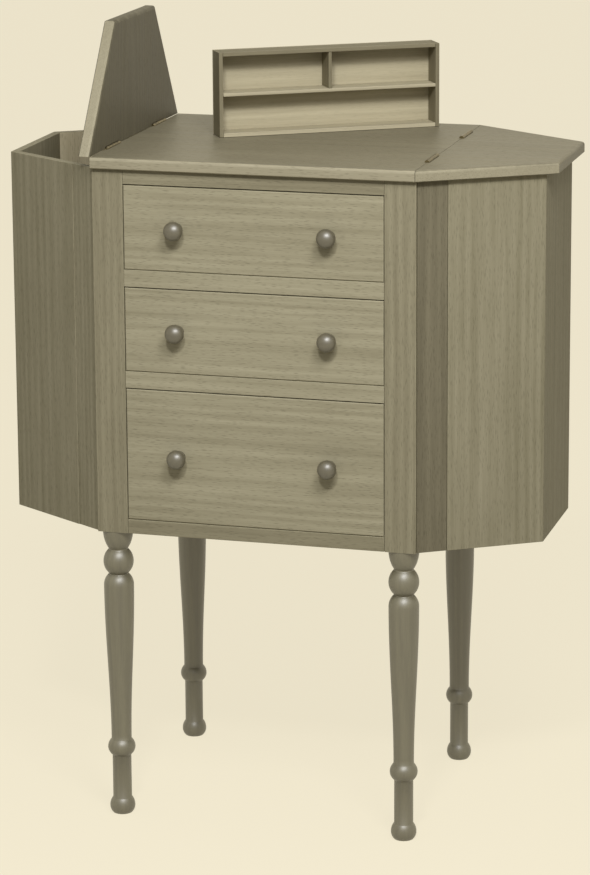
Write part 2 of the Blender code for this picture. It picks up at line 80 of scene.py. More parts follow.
# Wood grain, lengths in millimetres: rings and streaks are drawn at life size, fibres and pores
# two or three times too wide, because true ones would not show in the picture
woodGrain = {
    "ringSpacing": 6.0, "ringWander": 70.0, "ringStretch": 9.0,
    "ringDistortion": 7.0, "ringDetail": 2.0,
    "streakWidth": 8.0, "streakLength": 240.0, "streakDetail": 4.0, "streakRange": (0.3, 0.7),
    "fibreWidth": 1.0, "fibreLength": 38.0, "fibreDetail": 2.0, "fibreRange": (0.3, 0.7),
    "patchWidth": 90.0, "patchLength": 180.0, "patchDetail": 2.0, "patchRange": (0.3, 0.7),
    "wearWidth": 14.0, "wearLength": 42.0, "wearDetail": 3.0, "wearRange": (0.42, 0.62),
    "poreWidth": 1.1, "poreLength": 11.0, "poreRange": (0.12, 0.34), "noiseRoughness": 0.55,
    "streakRoughness": 0.05, "poreRoughness": 0.12,  # how far these change the roughness
    "fibreRelief": 0.3, "poreRelief": -0.7, "reliefDepth": 0.3,
}
wavePeriod = math.pi / 10  # of a wave texture at a scale of 1


def makeWood(name, look):
    wood = {**woodGrain, **look}
    material = bpy.data.materials.new(name)
    material.use_nodes = True
    tree = material.node_tree
    tree.nodes.clear()
    point = addNode(tree, "ShaderNodeAttribute", {}, attribute_name="grainPoint").outputs["Vector"]
    edge = addNode(tree, "ShaderNodeAttribute", {}, attribute_name="edgeWear").outputs["Fac"]

    # streaks, fibres, patches of stain and patches of wear are noise, stretched along the grain
    layers = {}
    for layer in ("streak", "fibre", "patch", "wear"):
        along, across = 1 / wood[f"{layer}Length"], 1 / wood[f"{layer}Width"]
        low, high = wood[f"{layer}Range"]
        stretched = addNode(tree, "ShaderNodeMapping", {
            "Vector": point, "Scale": (along, across, across),
        })
        noise = addNode(tree, "ShaderNodeTexNoise", {
            "Vector": stretched.outputs[0], "Scale": 1.0, "Detail": wood[f"{layer}Detail"],
            "Roughness": wood["noiseRoughness"],
        })
        layers[layer] = addNode(tree, "ShaderNodeMapRange", {
            "Value": noise.outputs["Fac"], "From Min": low, "From Max": high,
        }).outputs["Result"]

    # growth rings round the pith
    waveScale = wavePeriod / wood["ringSpacing"]
    stretched = addNode(tree, "ShaderNodeMapping", {
        "Vector": point, "Scale": (1 / wood["ringStretch"], 1.0, 1.0),
    })
    layers["ring"] = addNode(tree, "ShaderNodeTexWave", {
        "Vector": stretched.outputs[0], "Scale": waveScale, "Distortion": wood["ringDistortion"],
        "Detail": wood["ringDetail"], "Detail Scale": 1 / (wood["ringWander"] * waveScale),
    }, wave_type="RINGS", rings_direction="X").outputs["Fac"]

    # pores: the middles of long cells
    along, across = 1 / wood["poreLength"], 1 / wood["poreWidth"]
    low, high = wood["poreRange"]
    stretched = addNode(tree, "ShaderNodeMapping", {
        "Vector": point, "Scale": (along, across, across),
    })
    cells = addNode(tree, "ShaderNodeTexVoronoi", {"Vector": stretched.outputs[0], "Scale": 1.0})
    pores = addNode(tree, "ShaderNodeMapRange", {
        "Value": cells.outputs["Distance"], "From Min": low, "From Max": high,
        "To Min": 1.0, "To Max": 0.0,
    }).outputs["Result"]

    # colour: the figure, then the pores, then bare wood on worn edges
    figure = 0.0
    for layer in ("streak", "ring", "fibre", "patch"):
        figure = addNode(tree, "ShaderNodeMath", {
            0: layers[layer], 1: wood[f"{layer}Share"], 2: figure,
        }, operation="MULTIPLY_ADD").outputs[0]
    pitted = addNode(tree, "ShaderNodeMath", {
        0: pores, 1: wood["poreShare"],
    }, operation="MULTIPLY").outputs[0]
    rubbed = layers["wear"]
    for share in (edge, wood["wearShare"]):
        rubbed = addNode(tree, "ShaderNodeMath", {
            0: rubbed, 1: share,
        }, operation="MULTIPLY").outputs[0]
    colour = linearColour(wood["dark"])
    for share, tone in ((figure, "light"), (pitted, "pore"), (rubbed, "worn")):
        colour = addNode(tree, "ShaderNodeMix", {
            0: share, firstColour: colour, secondColour: linearColour(wood[tone]),
        }, data_type="RGBA").outputs[mixedColour]

    # gloss and relief
    sheen = addNode(tree, "ShaderNodeMapRange", {
        "Value": layers["streak"],
        "To Min": wood["roughness"] - wood["streakRoughness"],
        "To Max": wood["roughness"] + wood["streakRoughness"],
    })
    rough = addNode(tree, "ShaderNodeMath", {
        0: pores, 1: wood["poreRoughness"], 2: sheen.outputs["Result"],
    }, operation="MULTIPLY_ADD")
    relief = 0.0
    for height, share in ((layers["fibre"], wood["fibreRelief"]), (pores, wood["poreRelief"])):
        relief = addNode(tree, "ShaderNodeMath", {
            0: height, 1: share, 2: relief,
        }, operation="MULTIPLY_ADD").outputs[0]
    bump = addNode(tree, "ShaderNodeBump", {
        "Height": relief, "Strength": wood["relief"], "Distance": wood["reliefDepth"] / perMetre,
    })
    shader = addNode(tree, "ShaderNodeBsdfPrincipled", {
        "Base Color": colour, "Roughness": rough.outputs[0], "Normal": bump.outputs["Normal"],
        "Specular IOR Level": wood["specular"], "Coat Weight": wood["coat"],
        "Coat Roughness": wood["coatRoughness"], "Coat IOR": wood["coatIndex"],
    })
    addNode(tree, "ShaderNodeOutputMaterial", {"Surface": shader.outputs[0]})
    return material


# Walnut, stained and waxed: a grey-brown dull satin face with short dark pores
stainedWalnut = {
    "dark": "766f59", "light": "9c957c", "pore": "5c5643", "worn": "b6ae92",
    "ringShare": 0.2, "streakShare": 0.38, "fibreShare": 0.24, "patchShare": 0.18,
    "poreShare": 0.45, "wearShare": 0.3, "roughness": 0.6, "specular": 0.2, "relief": 0.3,
    "coat": 0.0, "coatRoughness": 0.3, "coatIndex": 1.5,
}
finishes = {
    "caseWood": makeWood("stainedWalnutPosts", stainedWalnut),
    # the fronts of the drawers and the rails between them are the palest of the stained boards
    "drawerWood": makeWood("stainedWalnutDrawers", {
        **stainedWalnut, "dark": "867f67", "light": "afa88e",
    }),
    # the pockets' panels have the stain of the posts, and edges that are hardly worn
    "panelWood": makeWood("stainedWalnutPanels", {
        **stainedWalnut, "dark": "777159", "light": "9c957d", "wearShare": 0.1,
    }),
    # the top is stained darker and rubbed to more of a shine, so it also takes light from behind
    "topWood": makeWood("polishedWalnutTop", {
        **stainedWalnut, "dark": "686250", "light": "89826b", "pore": "514c3c", "worn": "a29a80",
        "roughness": 0.45, "specular": 0.4,
    }),
    # painted shade: the left lid takes a darker copy of the top's wood, for its face turned from
    # the light when it stands open; it shines a little less than the top
    "lidWood": makeWood("polishedWalnutLidPaintedShade", {
        **stainedWalnut, "dark": "4f4a3b", "light": "6d6753", "pore": "3f3a2d", "worn": "a29a80",
        "roughness": 0.5, "specular": 0.3,
    }),
    # painted highlight: the front and back edges of the top and the lids are painted lighter than
    # the top's own wood, nearly the colour of the bare wood
    "highlightBandWood": makeWood("paleWalnutBandPaintedHighlight", {
        **stainedWalnut, "dark": "8e8770", "light": "a59d85", "worn": "c0b89c",
        "ringShare": 0.05, "streakShare": 0.1, "fibreShare": 0.5, "patchShare": 0.35,
    }),
    # the same wood without stain, pale and dull, inside the pockets and under the lids
    "bareWood": makeWood("bareWalnut", {
        **stainedWalnut, "dark": "aca183", "light": "ccc1a3", "roughness": 0.7,
    }),
    # turned and burnished on the lathe: more end grain, so a little darker, and more of a shine
    "turnedWood": makeWood("turnedWalnut", {
        **stainedWalnut, "dark": "544f3e", "light": "757059",
        "roughness": 0.5, "specular": 0.1, "relief": 0.12,
        "coat": 1.0, "coatRoughness": 0.46, "coatIndex": 2.0,
    }),
    # the right pocket's narrow stile beside the post is darker than the panel beside it; the left
    # pocket's stile takes the panel's colour
    "stripWood": makeWood("darkWalnutStile", {
        **stainedWalnut, "dark": "615b49", "light": "827b65", "pore": "494435", "worn": "8f866a",
    }),
    # turned, burnished and waxed: the same wood, finer in the grain, with a tighter highlight
    "knobWood": makeWood("burnishedWalnutKnobs", {
        **stainedWalnut, "dark": "3e3929", "light": "58523f",
        "roughness": 0.6, "specular": 0.2, "relief": 0.1,
        "coat": 1.0, "coatRoughness": 0.43, "coatIndex": 2.0,
        "fibreWidth": 0.7, "poreWidth": 0.7, "poreLength": 5.0,
    }),
    # tulip poplar, thinly sealed: pale, close and dull, with faint rings
    "paleWood": makeWood("sealedPoplar", {
        **stainedWalnut, "dark": "9d947b", "light": "beb599", "pore": "877e67", "worn": "cfc7ac",
        "poreShare": 0.2, "roughness": 0.62, "relief": 0.22,
    }),
    # the same wood under a thin brown stain, on the frame of the tray
    "trayWood": makeWood("stainedPoplar", {
        **stainedWalnut, "dark": "6f6852", "light": "8b836b", "pore": "5a5442", "worn": "a0977c",
        "poreShare": 0.2, "roughness": 0.62, "relief": 0.22,
    }),
}


# Brass, rolled and stamped, gone a little dull: warm metal with rolling lines and brown spots.
# Lengths in millimetres; the lines are drawn coarser than true ones, which would not show.
rolledBrass = {
    "bright": "80765a", "tarnish": "4f4735", "smooth": 0.22, "rough": 0.42,
    "lineWidth": 0.25, "lineLength": 8.0, "lineDetail": 2.0,
    "spotSize": 3.0, "spotDetail": 4.0, "spotRange": (0.45, 0.7),
    "relief": 0.15, "reliefDepth": 0.1,
}


def makeBrass(name, look):
    material = bpy.data.materials.new(name)
    material.use_nodes = True
    tree = material.node_tree
    tree.nodes.clear()
    place = addNode(tree, "ShaderNodeTexCoord", {}).outputs["Object"]
    along, across = perMetre / look["lineLength"], perMetre / look["lineWidth"]
    stretched = addNode(tree, "ShaderNodeMapping", {
        "Vector": place, "Scale": (across, along, across),
    })
    lines = addNode(tree, "ShaderNodeTexNoise", {
        "Vector": stretched.outputs[0], "Scale": 1.0, "Detail": look["lineDetail"],
    }).outputs["Fac"]
    patches = addNode(tree, "ShaderNodeTexNoise", {
        "Vector": place, "Scale": perMetre / look["spotSize"], "Detail": look["spotDetail"],
    })
    low, high = look["spotRange"]
    spots = addNode(tree, "ShaderNodeMapRange", {
        "Value": patches.outputs["Fac"], "From Min": low, "From Max": high,
    })
    colour = addNode(tree, "ShaderNodeMix", {
        0: spots.outputs["Result"],
        firstColour: linearColour(look["bright"]), secondColour: linearColour(look["tarnish"]),
    }, data_type="RGBA")
    rough = addNode(tree, "ShaderNodeMapRange", {
        "Value": lines, "To Min": look["smooth"], "To Max": look["rough"],
    })
    bump = addNode(tree, "ShaderNodeBump", {
        "Height": lines, "Strength": look["relief"], "Distance": look["reliefDepth"] / perMetre,
    })
    shader = addNode(tree, "ShaderNodeBsdfPrincipled", {
        "Base Color": colour.outputs[mixedColour], "Metallic": 1.0,
        "Roughness": rough.outputs["Result"], "Normal": bump.outputs["Normal"],
    })
    addNode(tree, "ShaderNodeOutputMaterial", {"Surface": shader.outputs[0]})
    return material


finishes["brass"] = makeBrass("dullRolledBrass", rolledBrass)
print("finishes:", len(finishes))

# How far the middle of a board may lie from the pith of its tree, in millimetres
pith = {"along": (0, 2000), "across": (-30, 30), "through": (30, 90)}


# Stores where each point lies in its tree: along the grain, across the face and through it
def layGrain(bm, along, turn):
    layer = bm.verts.layers.float_vector.new("grainPoint")
    straight = Matrix.Rotation(-turn, 3, "Z")
    places = [straight @ vert.co for vert in bm.verts]
    low = [min(place[axis] for place in places) for axis in range(3)]
    high = [max(place[axis] for place in places) for axis in range(3)]
    first = "XYZ".index(along)
    others = [axis for axis in range(3) if axis != first]
    through, across = sorted(others, key=lambda axis: high[axis] - low[axis])
    axes = (first, across, through)
    fromPith = Vector([chance.uniform(*pith[way]) for way in ("along", "across", "through")])
    for vert, place in zip(bm.verts, places):
        inBoard = [(place[axis] - (low[axis] + high[axis]) / 2) * perMetre for axis in axes]
        vert[layer] = Vector(inBoard) + fromPith


# Makes the object from its mesh, ties it to the body of the nodes that it stands for and hides them
def addPiece(name, bm, finishNames, body, nodes=(), smoothAngle=None):
    mesh = bpy.data.meshes.new(name)
    bm.to_mesh(mesh)
    bm.free()
    for finish in finishNames:
        mesh.materials.append(finishes[finish])
    if smoothAngle:
        mesh.shade_smooth()
        mesh.set_sharp_from_angle(angle=math.radians(smoothAngle))
    piece = bpy.data.objects.new(name, mesh)
    bpy.context.scene.collection.objects.link(piece)
    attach(piece, body)
    if nodes:
        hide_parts(*nodes)


# Upper edges of the top and the lids, lengths in metres: cosines tell level faces, chamfers and
# sides apart, and the hinges' cuts stay as they are, because they are shorter than any side
rim = {
    "radius": 0.0035, "segments": 6, "shortest": 0.07, "wear": 0.5,
    "level": 0.9, "chamfer": (0.6, 0.8), "side": 0.99,
    "chamferRise": 1e-4, "flatness": 1e-5,
}


# Rounds the upper edge of a top, where its solid has only a narrow chamfer
def roundUpperEdge(bm, upward):
    wear = bm.faces.layers.float["edgeWear"]
    level = [face for face in bm.faces if face.normal.dot(upward) > rim["level"]]
    broad = max(level, key=lambda face: face.calc_area())
    up = broad.normal.copy()
    height = broad.verts[0].co.dot(up)
    steep, shallow = rim["chamfer"]
    welds = {}
    outwards = []
    for face in bm.faces:
        longest = max(edge.calc_length() for edge in face.edges)
        if steep < face.normal.dot(up) < shallow and longest > rim["shortest"]:
            outwards.append((face.normal - up * face.normal.dot(up)).normalized())
            for edge in face.edges:
                lower, upper = sorted(edge.verts, key=lambda vert: vert.co.dot(up))
                if (upper.co - lower.co).dot(up) > rim["chamferRise"]:
                    welds[upper] = lower
    for vert in set(welds.values()):
        vert.co += up * (height - vert.co.dot(up))
    bmesh.ops.weld_verts(bm, targetmap=welds)
    bm.normal_update()
    upperEdges = set()
    for face in bm.faces:
        if any(face.normal.dot(side) > rim["side"] for side in outwards):
            for edge in face.edges:
                gaps = [abs(vert.co.dot(up) - height) for vert in edge.verts]
                if edge.calc_length() > rim["shortest"] and max(gaps) < rim["flatness"]:
                    upperEdges.add(edge)
    rounded = bmesh.ops.bevel(bm, geom=list(upperEdges), offset=rim["radius"],
                              segments=rim["segments"], profile=0.5, affect="EDGES", material=-1)
    for face in rounded["faces"]:
        face.smooth = True
        face[wear] = rim["wear"]


# Copies of the solids, angles in degrees: flatter seams are joined, sharper edges are eased
solidCopy = {"flatSeam": 0.5, "sharpEdge": 25.0}


# A copy of a node's solid with its long edges eased
def easedCopy(node, radius, segments, shortest, upward=None):
    bm = bmesh.new()
    wear = bm.faces.layers.float.new("edgeWear")
    bm.from_mesh(frame["nodes"][node].data)
    bmesh.ops.remove_doubles(bm, verts=bm.verts, dist=weld)
    bmesh.ops.recalc_face_normals(bm, faces=bm.faces)
    bmesh.ops.dissolve_limit(bm, angle_limit=math.radians(solidCopy["flatSeam"]),
                             verts=bm.verts, edges=bm.edges)
    if upward is not None:
        roundUpperEdge(bm, upward)
    sharpAngle = math.radians(solidCopy["sharpEdge"])
    edges = [edge for edge in bm.edges if len(edge.link_faces) == 2]
    sharp = [edge for edge in edges
             if edge.calc_face_angle() > sharpAngle and edge.calc_length() > shortest]
    eased = bmesh.ops.bevel(bm, geom=sharp, offset=radius, segments=segments, profile=0.5,
                            affect="EDGES", material=-1, clamp_overlap=True)
    for face in eased["faces"]:
        face[wear] = 1.0
    bmesh.ops.dissolve_degenerate(bm, edges=bm.edges, dist=weld)
    return bm


# Boards: how their edges are eased, in metres, and the cosines that tell a lid's underside,
# an edge with the painted highlight band and a pocket's inside
board = {"segments": 2, "shortest": 0.004, "underside": -0.9, "paintedHighlightBand": 0.6, "inside": 0.5}
pockets = [f"pocket_{side}" for side in sides]
drawers = [f"drawer_{number}" for number in (1, 2, 3)]
trayLeft, trayRight = [sum(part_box(f"tray_{side}_end"), Vector()) / 2 for side in sides]
trayTurn = math.atan2(trayRight.y - trayLeft.y, trayRight.x - trayLeft.x)


# Which of its group's finishes a face takes, by number: a top's front and back edges take the
# lighter band, a painted highlight, and a lid's underside was never stained
def topFinish(face, upward, isLid):
    if isLid and face.normal.dot(upward) < board["underside"]:
        return 2
    return int(abs(face.normal.y) > board["paintedHighlightBand"])


# A pocket's slanted panels were never stained inside; its end panel keeps the stain on its inner
# face too, as painted shade for the open lid's shadow inside the pocket
def pocketFinish(face, middle):
    inwards = (middle - face.calc_center_median()) * Vector((1, 1, 0))  # kept level
    return int(face.normal.dot(inwards.normalized()) > board["inside"])


# Groups of boards with the same finishes and easing, whose grain runs the same way
boardGroups = [
    {"finishes": ["caseWood"], "along": "X", "ease": 0.0005,
     "nodes": ["top_rail", "bottom_board"]},
    {"finishes": ["topWood", "highlightBandWood"], "along": "X", "ease": 0.0003,
     "nodes": ["top_board"], "upward": Vector((0, 0, 1))},
    {"finishes": ["topWood", "highlightBandWood", "bareWood"], "along": "X", "ease": 0.0003,
     "nodes": ["lid_right"], "upward": Vector((0, 0, 1))},
    # the left lid wears the painted shade copy of the top's wood; the right lid wears the top's own
    {"finishes": ["lidWood", "highlightBandWood", "bareWood"], "along": "Z", "ease": 0.0003,
     "nodes": ["lid_left"], "upward": Vector((1, 0, 0))},
    {"finishes": ["panelWood", "bareWood"], "along": "Z", "ease": 0.0004, "pocket": True,
     "nodes": [f"{pocket}_{wall}_panel" for pocket in pockets for wall in ("front", "back", "end")]
     + ["pocket_left_front_strip"]},
    {"finishes": ["stripWood", "bareWood"], "along": "Z", "ease": 0.0004, "pocket": True,
     "nodes": ["pocket_right_front_strip"]},
    {"finishes": ["drawerWood"], "along": "X", "ease": 0.0003,
     "nodes": [f"{drawer}_front" for drawer in drawers] + ["upper_divider", "lower_divider"]},
    {"finishes": ["paleWood"], "along": "Y", "ease": 0.0005,
     "nodes": [f"{drawer}_{side}_side" for drawer in drawers for side in sides]
     + [f"{pocket}_floor" for pocket in pockets]},
    {"finishes": ["paleWood"], "along": "X", "ease": 0.0005,
     "nodes": [f"{drawer}_{wall}" for drawer in drawers for wall in ("back", "floor")]
     + ["back_panel"]},
    {"finishes": ["paleWood"], "along": "Z", "ease": 0.0005,
     "nodes": [f"case_side_{side}" for side in sides]},
    {"finishes": ["paleWood"], "along": "X", "ease": 0.0004, "turn": trayTurn,
     "nodes": [f"tray_{wall}" for wall in ("floor", "lower_wall", "long_divider")]},
    {"finishes": ["trayWood"], "along": "X", "ease": 0.0004, "turn": trayTurn,
     "nodes": ["tray_upper_wall"]},
    {"finishes": ["trayWood"], "along": "Z", "ease": 0.0004, "turn": trayTurn,
     "nodes": [f"tray_{wall}" for wall in ("left_end", "right_end", "cross_divider")]},
]
for group in boardGroups:
    for node in group["nodes"]:
        bm = easedCopy(node, group["ease"], board["segments"], board["shortest"],
                       group.get("upward"))
        if "upward" in group:
            for face in bm.faces:
                face.material_index = topFinish(face, group["upward"], "lid" in node)
        # end panels are left out, so their inner faces keep the stain: painted shade
        if "pocket" in group and "end_panel" not in node:
            side = "left" if "left" in node else "right"
            middle = sum(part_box(f"pocket_{side}_floor"), Vector()) / 2
            for face in bm.faces:
                face.material_index = pocketFinish(face, middle)
        layGrain(bm, group["along"], group.get("turn", 0.0))
        addPiece(f"dressed_{node}", bm, group["finishes"], bodyOf[node], [node])
print("boards:", sum(len(group["nodes"]) for group in boardGroups))


# Half a turned bead, from its widest (radius, height) point in to a neck: an arc about the axis
def halfBead(belly, neck, steps):
    sweep = math.acos(neck[0] / belly[0])
    turns = [sweep * step / steps for step in range(steps + 1)]
    rise = (neck[1] - belly[1]) / math.sin(sweep)
    return [(belly[0] * math.cos(turn), belly[1] + rise * math.sin(turn)) for turn in turns]


def spunMesh(profile, steps):
    bm = bmesh.new()
    points = [bm.verts.new((radius, 0.0, height)) for radius, height in profile]
    edges = [bm.edges.new(pair) for pair in zip(points, points[1:])]
    bmesh.ops.spin(bm, geom=points + edges, cent=(0, 0, 0), axis=(0, 0, 1),
                   angle=2 * math.pi, steps=steps, use_merge=True)
    bmesh.ops.remove_doubles(bm, verts=bm.verts, dist=weld)
    bmesh.ops.dissolve_degenerate(bm, edges=bm.edges, dist=weld)
    bmesh.ops.recalc_face_normals(bm, faces=bm.faces)
    return bm


# Legs: heights up from the floor or down from the body, and radii, in metres
leg = {
    "spinSteps": 72, "beadSteps": 12, "taperSteps": 28, "domeStep": 0.0005, "domeDrop": 0.0225,
    "neckRadius": 0.0100, "ballRadius": 0.0164, "ballHeight": 0.0277,
    "shoulderRadius": 0.0163, "shoulderDrop": 0.0130, "taperPower": 2.0,
    "calfRadius": 0.0110, "ankleRadius": 0.0103,
    "ringRadius": 0.0150, "ringCentre": 0.0755, "ringHeight": 0.0182,
    "footRadius": 0.0138, "footTop": 0.0175, "footWidest": 0.0078, "footBaseRadius": 0.0106,
    "tenonRise": 0.002, "postEase": 0.0007, "easeSegments": 3,
}


def legProfile(bodyBottom, postHalf):
    steps = leg["beadSteps"]
    dome = (postHalf - leg["domeStep"], bodyBottom)
    upperNeck = (leg["neckRadius"], bodyBottom - leg["domeDrop"])
    lowerNeck = (leg["neckRadius"], upperNeck[1] - leg["ballHeight"])
    ball = (leg["ballRadius"], upperNeck[1] - leg["ballHeight"] / 2)
    shoulder = (leg["shoulderRadius"], lowerNeck[1] - leg["shoulderDrop"])
    ring = (leg["ringRadius"], leg["ringCentre"])
    ringTop = (leg["calfRadius"], leg["ringCentre"] + leg["ringHeight"] / 2)
    ringBase = (leg["ankleRadius"], leg["ringCentre"] - leg["ringHeight"] / 2)
    foot = (leg["footRadius"], leg["footWidest"])
    points = [(0.0, bodyBottom + leg["tenonRise"]), (dome[0], bodyBottom + leg["tenonRise"])]
    points += halfBead(dome, upperNeck, steps)
    points += halfBead(ball, upperNeck, steps)[::-1][1:] + halfBead(ball, lowerNeck, steps)[1:]
    points += halfBead(shoulder, lowerNeck, steps)[::-1][1:]
    for step in range(1, leg["taperSteps"] + 1):
        share = step / leg["taperSteps"]
        swell = math.sin(math.pi / 2 * share) ** leg["taperPower"]
        radius = shoulder[0] + (ringTop[0] - shoulder[0]) * swell
        points.append((radius, shoulder[1] + (ringTop[1] - shoulder[1]) * share))
    points += halfBead(ring, ringTop, steps)[::-1][1:] + halfBead(ring, ringBase, steps)[1:]
    points += halfBead(foot, (leg["ankleRadius"], leg["footTop"]), steps)[::-1]
    points += halfBead(foot, (leg["footBaseRadius"], 0.0), steps)[1:]
    return points + [(0.0, 0.0)]


def makeLeg(node):
    low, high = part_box(node)
    half = (high.x - low.x) / 2
    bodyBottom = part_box("bottom_board")[0].z
    bm = spunMesh(legProfile(bodyBottom, half), leg["spinSteps"])
    wear = bm.faces.layers.float.new("edgeWear")
    for face in bm.faces:
        face.smooth = True
        face.material_index = 1  # the second finish, for turned wood
    turned = set(bm.faces)
    size = (2 * half, 2 * half, high.z - bodyBottom, 1.0)
    middle = Matrix.Translation((0, 0, (high.z + bodyBottom) / 2))
    bmesh.ops.create_cube(bm, size=1.0, matrix=middle @ Matrix.Diagonal(size))
    post = [face for face in bm.faces if face not in turned]
    corners = {edge for face in post for edge in face.edges
               if abs(edge.verts[0].co.z - edge.verts[1].co.z) > half}
    eased = bmesh.ops.bevel(bm, geom=list(corners), offset=leg["postEase"],
                            segments=leg["easeSegments"], profile=0.5,
                            affect="EDGES", material=-1)
    for face in eased["faces"]:
        face[wear] = 1.0
    place = ((low.x + high.x) / 2, (low.y + high.y) / 2, 0.0)
    bmesh.ops.translate(bm, verts=bm.verts, vec=place)
    layGrain(bm, "Z", 0.0)
    addPiece(f"dressed_{node}", bm, ["caseWood", "turnedWood"], bodyOf[node], [node])


legs = [f"leg_{depth}_{side}" for depth in depths for side in sides]
for node in legs:
    makeLeg(node)
print("legs:", len(legs))


# Knobs: distances out from the drawer's face, and radii, in metres; the angle in degrees
knob = {
    "spinSteps": 48, "beadSteps": 12, "radius": 0.0103, "projection": 0.0211, "belly": 0.0123,
    "neckRadius": 0.0055, "neck": 0.0042, "baseRadius": 0.007, "seat": 0.0003,
    "tenonRadius": 0.004, "tenonLength": 0.0115, "smoothAngle": 40,
}


def makeKnob(node, faceY):
    low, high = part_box(node)
    belly = (knob["radius"], knob["belly"])
    profile = halfBead(belly, (0.0, knob["projection"]), knob["beadSteps"])[::-1]
    profile += halfBead(belly, (knob["neckRadius"], knob["neck"]), knob["beadSteps"])[1:]
    profile += [(knob["baseRadius"], knob["seat"]), (knob["tenonRadius"], knob["seat"])]
    profile += [(knob["tenonRadius"], -knob["tenonLength"]), (0.0, -knob["tenonLength"])]
    bm = spunMesh(profile, knob["spinSteps"])
    forward = Matrix.Rotation(math.radians(90), 3, "X")  # the turning axis points out of the drawer
    bmesh.ops.rotate(bm, verts=bm.verts, cent=(0, 0, 0), matrix=forward)
    place = ((low.x + high.x) / 2, faceY, (low.z + high.z) / 2)
    bmesh.ops.translate(bm, verts=bm.verts, vec=place)
    bm.faces.layers.float.new("edgeWear")  # left at 0, as a knob has no edge to wear
    layGrain(bm, "Y", 0.0)
    addPiece(f"dressed_{node}", bm, ["knobWood"], bodyOf[node], [node],
             smoothAngle=knob["smoothAngle"])


for drawer in drawers:
    for side in sides:
        makeKnob(f"{drawer}_{side}_knob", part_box(f"{drawer}_front")[0].y)
print("knobs:", len(drawers) * len(sides))


# Hinges: the leaves keep their solids' shape; slotted screws with low heads hold them.
# Lengths in metres, angles in degrees.
leaf = {"ease": 0.00012, "segments": 1, "shortest": 0.003, "smoothAngle": 28}
screw = {
    "perLeaf": 3, "spacing": 0.015, "headRadius": 0.0021, "proud": 0.0002, "sunk": 0.0006,
    "slotWidth": 0.0005, "slotDepth": 0.00015, "headSides": 24,
    "ease": 0.0001, "easeSegments": 2, "level": 0.9, "smoothAngle": 30,
}


# One screw head, made about the origin and put in place with its top facing the place's own +X
def addScrewHead(bm, place, slotTurn):
    head = bmesh.new()
    depth = screw["proud"] + screw["sunk"]
    slotHalf = screw["slotWidth"] / 2
    bmesh.ops.create_cone(head, cap_ends=True, segments=screw["headSides"], depth=depth,
                          radius1=screw["headRadius"], radius2=screw["headRadius"])
    bmesh.ops.translate(head, verts=head.verts, vec=(0, 0, screw["proud"] - depth / 2))
    upper = [edge for edge in head.edges
             if min(vert.co.z for vert in edge.verts) > screw["proud"] - weld]
    bmesh.ops.bevel(head, geom=upper, offset=screw["ease"], segments=screw["easeSegments"],
                    profile=0.5, affect="EDGES", material=-1)
    for side in (-1, 1):
        bmesh.ops.bisect_plane(head, geom=head.verts[:] + head.edges[:] + head.faces[:], dist=weld,
                               plane_co=(0, side * slotHalf, 0), plane_no=(0, 1, 0))
    slot = [face for face in head.faces if face.normal.z > screw["level"]
            and abs(face.calc_center_median().y) < slotHalf]
    grown = bmesh.ops.extrude_face_region(head, geom=slot)
    sunk = [part for part in grown["geom"] if isinstance(part, bmesh.types.BMVert)]
    bmesh.ops.translate(head, verts=sunk, vec=(0, 0, -screw["slotDepth"]))
    bmesh.ops.delete(head, geom=[face for face in slot if face.is_valid], context="FACES_ONLY")
    turn = Matrix.Rotation(math.radians(90), 4, "Y") @ Matrix.Rotation(slotTurn, 4, "Z")
    bmesh.ops.transform(head, matrix=place @ turn, verts=head.verts)
    mesh = bpy.data.meshes.new("screwHead")
    head.to_mesh(mesh)
    head.free()
    bm.from_mesh(mesh)
    bpy.data.meshes.remove(mesh)


def makeHinge(side, depth):
    isLeft = side == "left"
    joint = jointOf[f"{side}_lid_hinge"]
    axis = Vector(joint["pos_m"])
    inwards = 1 if isLeft else -1  # from the pin towards the top board
    seam = abs(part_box("top_board")[0 if isLeft else 1].x - axis.x)
    opened = math.radians(-joint["range_deg"][0] if isLeft else 0.0)  # the lid's angle at rest
    turned = Matrix.Rotation(opened * inwards, 4, "Y")
    swing = Matrix.Translation(axis) @ turned @ Matrix.Translation(-axis)
    low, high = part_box(f"hinge_{side}_{depth}_fixed_leaf")
    middle = ((low + high) / 2).y
    knuckle = high.z - axis.z
    rise = (low.z + axis.z - knuckle) / 2  # middle of the flat plate below the knuckles
    for kind, facing in (("fixed", -inwards), ("moving", inwards)):
        node = f"hinge_{side}_{depth}_{kind}_leaf"
        body = bodyOf[node]
        bm = easedCopy(node, leaf["ease"], leaf["segments"], leaf["shortest"])
        addPiece(f"dressed_{node}", bm, ["brass"], body, [node],
                 smoothAngle=leaf["smoothAngle"])

        heads = bmesh.new()
        for number in range(screw["perLeaf"]):
            along = (number - (screw["perLeaf"] - 1) / 2) * screw["spacing"]
            place = Matrix.Translation((axis.x - facing * seam, middle + along, rise))
            if facing < 0:
                place = place @ Matrix.Rotation(math.pi, 4, "Z")
            if kind == "moving":
                place = swing @ place
            addScrewHead(heads, place, chance.uniform(0, math.pi))
        addPiece(f"screws_{side}_{depth}_{kind}_leaf", heads, ["brass"], body,
                 smoothAngle=screw["smoothAngle"])


hinges = [(side, depth) for side in sides for depth in depths]
for side, depth in hinges:
    makeHinge(side, depth)
print("hinges:", len(hinges), "with", 2 * len(hinges) * screw["perLeaf"], "screws")


